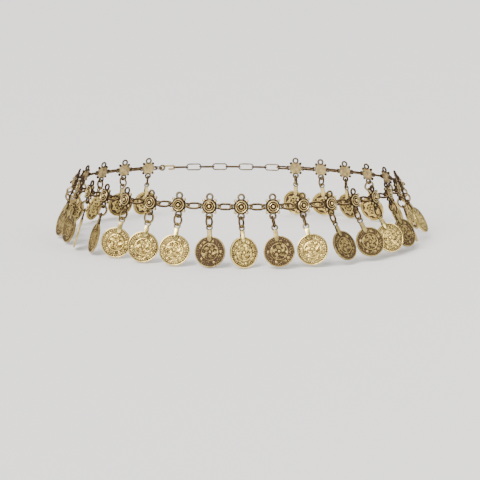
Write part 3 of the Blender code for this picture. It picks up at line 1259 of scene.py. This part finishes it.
@dataclass
class Bail:
    """A round eye that goes over into a flat, pointed tongue on both faces of the coin.

    Attributes:
        eye_radius: The eye's outer radius.
        hole_radius: Its hole.
        half_width: Half of the tongue's width.
        neck_half: The same where it leaves the eye.
        tip_half: The same at its tip.
        half_thickness: From the coin's middle plane to the tongue's face.
        shoulder: How far over the coin it starts to thicken.
        overlap: How far the tongue comes down over the coin.
        point: The length of its point.
        corner: The share of its section that its edges' rounding takes.
        corner_start: The share of that at which the painted shade along its sides begins.
        neck_shares: How far down its top lies, and half of its thickness there and at the eye's
            foot, in halves of the eye's wire.
        thickness_shares: Half of its thickness over the coin, at the coin's edge and at its tip,
            in shares of half_thickness.
    """

    eye_radius: float = 0.0023
    hole_radius: float = 0.0012
    half_width: float = 0.0015
    neck_half: float = 0.0011
    tip_half: float = 0.0002
    half_thickness: float = 0.00095
    shoulder: float = 0.0012
    overlap: float = 0.0037
    point: float = 0.0012
    corner: float = 0.16
    corner_start: float = 0.1
    neck_shares: Triple = (0.7, 0.9, 1.3)
    thickness_shares: Triple = (0.80, 0.98, 0.96)

    @property
    def wire(self) -> float:
        """Half of the thickness of the eye's wire."""
        return (self.eye_radius - self.hole_radius) / 2

    def tongue(self, eye_middle: float, coin_top: float) -> bpy.types.Mesh:
        """The strip from the eye down over the coin's edge, with painted shade along its sides.

        Args:
            eye_middle: The height of the eye's middle.
            coin_top: The height of the coin's edge.

        Returns:
            The closed mesh.
        """
        low = coin_top - self.overlap
        neck_drop, neck_wire, eye_wire = self.neck_shares
        above, edge, tip = self.thickness_shares
        neck = eye_middle - self.hole_radius - neck_drop * self.wire
        sections: tuple[Triple, ...] = (
            (neck, self.neck_half, neck_wire * self.wire),
            (eye_middle - self.eye_radius, self.half_width, eye_wire * self.wire),
            (coin_top + self.shoulder, self.half_width, above * self.half_thickness),
            (coin_top, self.half_width, edge * self.half_thickness),
            (low + self.point, self.half_width, self.half_thickness),
            (low, self.tip_half, tip * self.half_thickness),
        )
        places = [
            Matrix.Translation((0, 0, height)) @ Matrix.Diagonal((across, thick, 1, 1))
            for height, across, thick in sections
        ]
        mesh = drawn_bar("tongue", places, self.corner)
        at = coordinates(mesh)
        heights, _, thicknesses = zip(*reversed(sections))
        # Painted shade: the flat faces stay bright and the sides go dark.
        depth = 1 - np.abs(at[:, 1]) / np.interp(at[:, 2], heights, thicknesses)
        paint(mesh, PATINA_AND_SHADE, smooth_step(depth, self.corner_start * self.corner, self.corner))
        return mesh

    def eye(self, eye_middle: float) -> bpy.types.Mesh:
        """The round eye over the tongue.

        Args:
            eye_middle: The height of its middle.

        Returns:
            The closed mesh.
        """
        mesh = RoundWire(self.hole_radius + self.wire, self.wire, steps=24).build("eye")
        mesh.transform(Matrix.Translation((0, 0, eye_middle)))
        return mesh


@dataclass(frozen=True)
class Hang:
    """How one pendant hangs, in degrees.

    Attributes:
        lean: How far it swings away from the waist.
        sway: How far its coin is moved along the belt.
        turn: How far the coin is turned about the hanging line, anticlockwise from above.
        ring: The same for its jump ring.
        spin: How far the coin's ornament is turned in its own plane.
        tarnish_and_shade: How dark and dull the coin is, from 0 to 1: partly tarnishing, partly
            painted shade
        for how the coin catches the light.
    """

    lean: float
    sway: float
    turn: float
    ring: float
    spin: float
    tarnish_and_shade: float


# The last column is each coin's darkness: partly tarnishing, partly painted shade for how the coin
# catches the light.
HANGS = (
    Hang(16, 2, 12, -20, 10, 0.3),
    Hang(18, -2, -9, 14, 75, 0.6),
    Hang(17, 4, 15, -10, 30, 0.2),
    Hang(19, 3, -12, 24, 55, 0.5),
    Hang(18, 8, -6, 0, 15, 0.7),
    Hang(19, 6, 15, 8, 40, 0.75),
    Hang(16, 5, 8, -8, 80, 0.85),
    Hang(20, 2, -26, 6, 25, 0.5),
    Hang(17, -5, -24, -10, 60, 0.75),
    Hang(13, -9, 30, -5, 5, 0.1),
    Hang(16, -4, 24, -24, 45, 0.1),
    Hang(17, -1, 14, -24, 70, 0.0),
    Hang(13, 4, -4, -24, 20, 1.0),
    Hang(12, 5, 29, -24, 35, 0.1),
    Hang(20, 8, -9, -18, 65, 0.9),
    Hang(21, 10, -20, -14, 0, 0.0),
    Hang(25, 14, 18, -5, 50, 0.9),
    Hang(28, 11, -14, -11, 85, 0.8),
    Hang(28, 8, -19, -19, 15, 0.1),
    Hang(28, 5, -12, -24, 40, 0.9),
    Hang(24, 1, 12, -24, 10, 0.5),
    Hang(34, 6, -8, -24, 55, 0.3),
    Hang(24, 2, 10, -15, 30, 0.4),
    Hang(20, -3, -14, 12, 75, 0.6),
    Hang(18, 4, 9, -24, 20, 0.2),
    Hang(17, 1, -16, 20, 60, 0.5),
    Hang(19, -2, 13, -12, 45, 0.3),
    Hang(16, 3, -8, 24, 5, 0.4),
)


@dataclass
class Pendants:
    """The jump rings, bails and coins below the rosettes.

    Attributes:
        waist: The line that the rosettes follow.
        rosette: The rosette that they hang from.
        coin: The coin.
        bail: The bail.
        ring_reach: From a jump ring's middle to the middle of its wire.
        ring_wire: Half of its thickness.
        seat_gap: The play between a jump ring and the loop that it hangs in.
        coin_drop: From the hanging point to the coin's middle.
        ring_tarnish: How dull the jump rings are.
        eye_tarnish_and_shade: How dull a bail's eye is on a bright coin, and how much more on the
            dullest, following the coin's tarnishing and painted shade.
        tongue_tarnish_and_shade: The same for a bail's tongue.
    """

    waist: WaistLine
    rosette: Rosette = field(default_factory=Rosette)
    coin: Coin = field(default_factory=Coin)
    bail: Bail = field(default_factory=Bail)
    ring_reach: float = 0.00335
    ring_wire: float = 0.00072
    seat_gap: float = 0.00003
    coin_drop: float = 0.0216
    ring_tarnish: float = 0.32
    eye_tarnish_and_shade: Pair = (0.65, 0.30)
    tongue_tarnish_and_shade: Pair = (0.10, 0.95)

    @property
    def ring_centre(self) -> float:
        """The height of a jump ring's middle in the pendant's frame, its wire on the loop's."""
        return self.rosette.drop_wire + self.ring_wire + self.seat_gap - self.ring_reach

    def place(self, unit: int, hang: Hang) -> Matrix:
        """The frame of a pendant: its origin in the rosette's lowest wire, its coin down local -Z.

        Args:
            unit: The rosette's number.
            hang: How the pendant hangs.

        Returns:
            The frame.
        """
        loop = self.rosette
        bar_middle = -loop.drop_hole_centre - loop.drop_hole_radius - loop.drop_rim / 2
        pivot = self.waist.medallion(unit) @ Vector((0, 0, bar_middle))
        turn = Matrix.Rotation(self.waist.heading(self.waist.distance(unit)), 4, "Z")
        turn = turn @ Matrix.Rotation(radians(-hang.sway), 4, "Y")
        turn = turn @ Matrix.Rotation(radians(-hang.lean), 4, "X")
        return Matrix.Translation(pivot) @ turn

    def dress(self) -> None:
        """Builds every pendant and lets it stand for its solid."""
        ring = RoundWire(self.ring_reach, self.ring_wire).build("jump_ring")
        ring_lift = Matrix.Translation((0, 0, self.ring_centre))
        coin_lift = Matrix.Translation((0, 0, -self.coin_drop))
        eye_middle = self.ring_centre - self.ring_reach + self.ring_wire - self.bail.hole_radius
        eye = self.bail.eye(eye_middle)
        tongue = self.bail.tongue(eye_middle, self.coin.radius - self.coin_drop)
        struck_coin = self.coin.build()
        for unit, hang in enumerate(HANGS, start=1):
            here = self.place(unit, hang)
            turned_here = here @ Matrix.Rotation(radians(hang.turn), 4, "Z")
            ring_turn = Matrix.Rotation(pi / 2 + radians(hang.ring), 4, "Z")
            coin = struck_coin.copy()
            coin.transform(Matrix.Rotation(radians(hang.spin), 4, "Y"))
            # Painted shadow of the bail's tongue on the coin.
            self.coin.paint_tongue_shadow(coin, self.bail.half_width, self.bail.overlap)
            parts = [Part(coin, turned_here @ coin_lift, COIN_GOLD, hang.tarnish_and_shade)]
            # The bail's darkness follows the coin's tarnishing and painted shade.
            for mesh, (bright, more) in ((eye, self.eye_tarnish_and_shade), (tongue, self.tongue_tarnish_and_shade)):
                parts.append(Part(mesh, turned_here, STRIP_GOLD, bright + more * hang.tarnish_and_shade))
            parts.append(Part(ring, here @ ring_lift @ ring_turn, WIRE_GOLD, self.ring_tarnish))
            piece = assemble(f"coin_drop_{unit:02d}", parts)
            hand_over(piece, f"pendant_{unit:02d}", f"pendant_{unit:02d}")


@dataclass
class Closure:
    """The closure behind: a ring in the first rosette, a flat hook on it and a run of links.

    Attributes:
        waist: The line that it follows.
        rosette: The rosette at each end.
        ring_reach: From the ring's middle to the middle of its wire.
        ring_wire: Half of its thickness.
        hook_radius: The outer radius of the hook's bend and of its eye.
        hook_hole: The hole of its eye.
        hook_length: From its eye to its bend.
        hook_tip: How far its tip comes back.
        hook_half: Half of its thickness.
        hook_corner: The share of its section that its edges' rounding takes.
        bend_steps: Steps of its bend.
        links: Links of the run.
        link_wire: Half of a link's thickness.
        link_half_width: From a link's middle to the wire at its sides.
        lap_play: How much less than a wire's thickness the links lap.
        seat_gap: The play at a seat.
        chain_seat: From a rosette's middle to the medallion link's wire in its side loop.
        chain_wire: Half of that wire's thickness in the solid.
        tarnish_and_shade: How dark and dull the whole closure is, from tarnishing and painted
            shade.
    """

    waist: WaistLine
    rosette: Rosette = field(default_factory=Rosette)
    ring_reach: float = 0.0026
    ring_wire: float = 0.0005
    hook_radius: float = 0.0026
    hook_hole: float = 0.0011
    hook_length: float = 0.0090
    hook_tip: float = 0.0040
    hook_half: float = 0.0005
    hook_corner: float = 0.4
    bend_steps: int = 12
    links: int = 8
    link_wire: float = 0.0005
    link_half_width: float = 0.0023
    lap_play: float = 0.0003
    seat_gap: float = 0.0003
    chain_seat: float = 0.00645
    chain_wire: float = 0.0004
    tarnish_and_shade: float = 0.85

    def ring(self) -> float:
        """Builds the ring, which lies level.

        Returns:
            Its middle's distance along the line.
        """
        hole = self.rosette.side_hole_centre + self.rosette.side_hole_radius
        middle = self.seat_gap + self.ring_wire - hole - self.ring_reach
        mesh = RoundWire(self.ring_reach, self.ring_wire, steps=36).build("clasp_ring")
        level = Matrix.Translation((middle, 0, 0)) @ Matrix.Rotation(pi / 2, 4, "X")
        place = self.waist.medallion(1) @ level
        piece = assemble("clasp_ring_wire", [Part(mesh, place, WIRE_GOLD, self.tarnish_and_shade)])
        hand_over(piece, CHAIN_BODY, "clasp_ring")
        return self.waist.distance(1) + middle

    def hook_strip(self) -> bpy.types.Mesh:
        """The hook: a bent strip that ends in an eye.

        Returns:
            A closed mesh, its eye at +X and its bend at -X.
        """
        half = self.hook_length / 2
        width = self.hook_radius / 2
        line = [(half - self.hook_radius + width / 2, width)]
        line += [
            (-half + width * cos(angle), width * sin(angle))
            for angle in np.linspace(pi / 2, 3 * pi / 2, self.bend_steps + 1)
        ]
        line.append((self.hook_tip - half, -width))
        places = []
        for number, (x, z) in enumerate(line):
            before = line[max(number - 1, 0)]
            after = line[min(number + 1, len(line) - 1)]
            run = 2 * hypot(after[0] - before[0], after[1] - before[1]) / width
            side = Vector(((before[1] - after[1]) / run, 0, (after[0] - before[0]) / run))
            section = Matrix((side, (0, self.hook_half, 0), (0, 0, 0))).transposed().to_4x4()
            places.append(Matrix.Translation((x, 0, z)) @ section)
        return drawn_bar("hook_strip", places, self.hook_corner)

    def hook(self, ring_middle: float) -> float:
        """Builds the hook on the ring.

        Args:
            ring_middle: The ring's middle.

        Returns:
            How far along its bend holds the chain.
        """
        half = self.hook_length / 2
        eye = ring_middle - self.ring_reach - self.hook_hole + self.seat_gap + self.ring_wire
        rim = (self.hook_radius - self.hook_hole) / 2
        loop = RoundWire(self.hook_hole + rim, rim, steps=28).build("hook_eye")
        place = self.waist.station(eye - half)
        flatten = Matrix.Diagonal((1, self.hook_half / rim, 1, 1))
        loop_place = place @ Matrix.Translation((half, 0, 0)) @ flatten
        parts = [
            Part(self.hook_strip(), place, STRIP_GOLD, self.tarnish_and_shade),
            Part(loop, loop_place, STRIP_GOLD, self.tarnish_and_shade),
        ]
        hand_over(assemble("clasp_hook_strip", parts), CHAIN_BODY, "clasp_hook")
        return eye - self.hook_length - self.hook_radius / 2

    def run_of_links(self, catch: float) -> None:
        """Builds the links from the last rosette to the hook.

        Args:
            catch: How far along the hook's bend holds them.
        """
        last_rosette = self.waist.distance(self.waist.units + 1)
        first = last_rosette - self.chain_seat - self.chain_wire - self.link_wire
        last = catch + self.waist.length + self.seat_gap + self.link_wire
        lap = 2 * self.link_wire - self.lap_play
        reach = (last - first + (self.links - 1) * lap) / self.links
        stretch = self.link_wire - lap / 2
        parts = []
        for number in range(self.links):
            start = first + number * (reach - lap)
            ends = self.waist.point(start - stretch), self.waist.point(start + reach + stretch)
            half = (ends[1] - ends[0]).length / 2
            wire = RoundWire(half, self.link_wire, self.link_half_width, steps=28, sides=8)
            link = wire.between("chain_link", *ends, (number + 1) * pi / 2)
            parts.append(Part(link, Matrix(), WIRE_GOLD, self.tarnish_and_shade))
        hand_over(assemble("extension_links", parts), CHAIN_BODY, "extension_chain")

    def dress(self) -> None:
        """Builds the closure from the ring to the last link."""
        self.run_of_links(self.hook(self.ring()))


class LampKind(Enum):
    """The kinds of soft lamp."""

    BOX = "AREA"
    SKYLIGHT = "SUN"


@dataclass(frozen=True)
class SoftLamp:
    """A large soft lamp.

    Attributes:
        name: The lamp's name.
        kind: Whether it is a box nearby or a skylight far off.
        place: Where it stands, or where a skylight shines from.
        spread: The length of a box's side, or the angle that a skylight fills.
        power: Its power.
        colour: Its colour.
    """

    name: str
    kind: LampKind
    place: Triple
    spread: float
    power: float
    colour: Colour

    def build(self, aim: Vector) -> None:
        """Puts the lamp up.

        Args:
            aim: The point that it faces.
        """
        lamp = bpy.data.lights.new(self.name, self.kind.value)
        if self.kind is LampKind.BOX:
            lamp.shape = "SQUARE"
            lamp.size = self.spread
        else:
            lamp.angle = self.spread
        lamp.energy = self.power
        lamp.color = self.colour
        stand = new_object(self.name, lamp)
        stand.location = self.place
        stand.rotation_euler = (Vector(self.place) - aim).to_track_quat("Z", "Y").to_euler()


@dataclass
class Studio:
    """The pale floor, the soft light and the camera.

    Attributes:
        floor_size: Half of the floor's side.
        floor_drop: The play below the lowest coin.
        floor_colour: The floor's colour.
        floor_shade: How dark its cloudy parts are against that.
        floor_cloud: The scale of those parts.
        floor_roughness: How matt it is.
        sky: The colour of the light from all round.
        sky_strength: Its strength.
        sky_seen: How bright it looks behind the floor.
        lamps: The lamps.
        aim: The point that they face.
        eye: The camera's place.
        pitch: How far it looks down.
        yaw: How far it looks to the right.
        roll: How far it is rolled anticlockwise.
        lens: Its focal length in millimetres.
        sensor: Its sensor's width in millimetres.
        near: The nearest thing that it sees.
    """

    floor_size: float = 80.0
    floor_drop: float = 0.0003
    floor_colour: Colour = (0.94, 0.935, 0.93)
    floor_shade: float = 0.97
    floor_cloud: float = 9.0
    floor_roughness: float = 0.85
    sky: Colour = (0.975, 0.98, 0.98)
    sky_strength: float = 0.24
    sky_seen: float = 2.0
    lamps: tuple[SoftLamp, ...] = (
        SoftLamp(
            name="key_skylight",
            kind=LampKind.SKYLIGHT,
            place=(-0.75, -1.15, 1.15),
            spread=radians(40),
            power=5.2,
            colour=(1.0, 0.97, 0.93),
        ),
        SoftLamp(
            name="high_skylight",
            kind=LampKind.SKYLIGHT,
            place=(0.4, 0.5, 1.4),
            spread=radians(90),
            power=2.3,
            colour=(1.0, 0.99, 0.97),
        ),
        SoftLamp(
            name="fill_box",
            kind=LampKind.BOX,
            place=(1.10, -0.90, 0.45),
            spread=0.6,
            power=6.0,
            colour=(1.0, 0.98, 0.96),
        ),
    )
    aim: Triple = (0.0, -0.05, -0.01)
    eye: Triple = (0.0073, -0.8836, 0.1354)
    pitch: float = radians(11.27)
    yaw: float = radians(-0.334)
    roll: float = radians(0.488)
    lens: float = 92.8
    sensor: float = 36.0
    near: float = 0.01

    def floor(self) -> None:
        """Lays the floor just below the lowest coin."""
        shape = bmesh.new()
        bmesh.ops.create_grid(shape, x_segments=1, y_segments=1, size=self.floor_size)
        mesh = bpy.data.meshes.new("floor")
        shape.to_mesh(mesh)
        shape.free()
        mesh.transform(Matrix.Translation((0, 0, CAD_BOX[0][2] - self.floor_drop)))
        made = bpy.data.materials.new("pale_floor")
        made.use_nodes = True
        tree = made.node_tree
        shader = tree.nodes["Principled BSDF"]
        shader.inputs["Roughness"].default_value = self.floor_roughness
        place = tree.nodes.new("ShaderNodeTexCoord")
        cloud = tree.nodes.new("ShaderNodeTexNoise")
        cloud.inputs["Scale"].default_value = self.floor_cloud
        tone = tree.nodes.new("ShaderNodeValToRGB")
        shaded = (self.floor_shade * part for part in self.floor_colour)
        tone.color_ramp.elements[0].color = (*shaded, 1.0)
        tone.color_ramp.elements[1].color = (*self.floor_colour, 1.0)
        tree.links.new(place.outputs["Object"], cloud.inputs["Vector"])
        tree.links.new(cloud.outputs["Fac"], tone.inputs["Fac"])
        tree.links.new(tone.outputs["Color"], shader.inputs["Base Color"])
        mesh.materials.append(made)
        floor = new_object("floor", mesh)

    def light(self) -> None:
        """Sets the light from all round and the lamps."""
        world = bpy.data.worlds.new("studio")
        world.use_nodes = True
        tree = world.node_tree
        background = tree.nodes["Background"]
        background.inputs["Color"].default_value = (*self.sky, 1.0)
        sight = tree.nodes.new("ShaderNodeLightPath")
        strength = tree.nodes.new("ShaderNodeMapRange")
        strength.inputs["To Min"].default_value = self.sky_strength
        strength.inputs["To Max"].default_value = self.sky_seen
        tree.links.new(sight.outputs["Is Camera Ray"], strength.inputs["Value"])
        tree.links.new(strength.outputs["Result"], background.inputs["Strength"])
        bpy.context.scene.world = world
        for lamp in self.lamps:
            lamp.build(Vector(self.aim))

    def camera(self) -> None:
        """Sets the camera at the photograph's viewing angle."""
        optics = bpy.data.cameras.new("camera")
        optics.sensor_width = self.sensor
        optics.lens = self.lens
        optics.clip_start = self.near
        stand = new_object("camera", optics)
        aim = Matrix.Rotation(-self.yaw, 4, "Z") @ Matrix.Rotation(pi / 2 - self.pitch, 4, "X")
        stand.matrix_world = Matrix.Translation(self.eye) @ aim @ Matrix.Rotation(self.roll, 4, "Z")
        bpy.context.scene.camera = stand

    def build(self) -> None:
        """Builds the studio."""
        self.floor()
        self.light()
        self.camera()
        LOG.info("the floor, %d lamps and the camera stand", len(self.lamps))


def main() -> None:
    """Builds the belt from the waist line out, and then the studio round it."""
    logging.basicConfig(level=logging.INFO, format="%(message)s")
    waist = WaistLine()
    Medallions(waist).dress()
    Pendants(waist).dress()
    Closure(waist).dress()
    Studio().build()


if __name__ == "__main__":
    main()
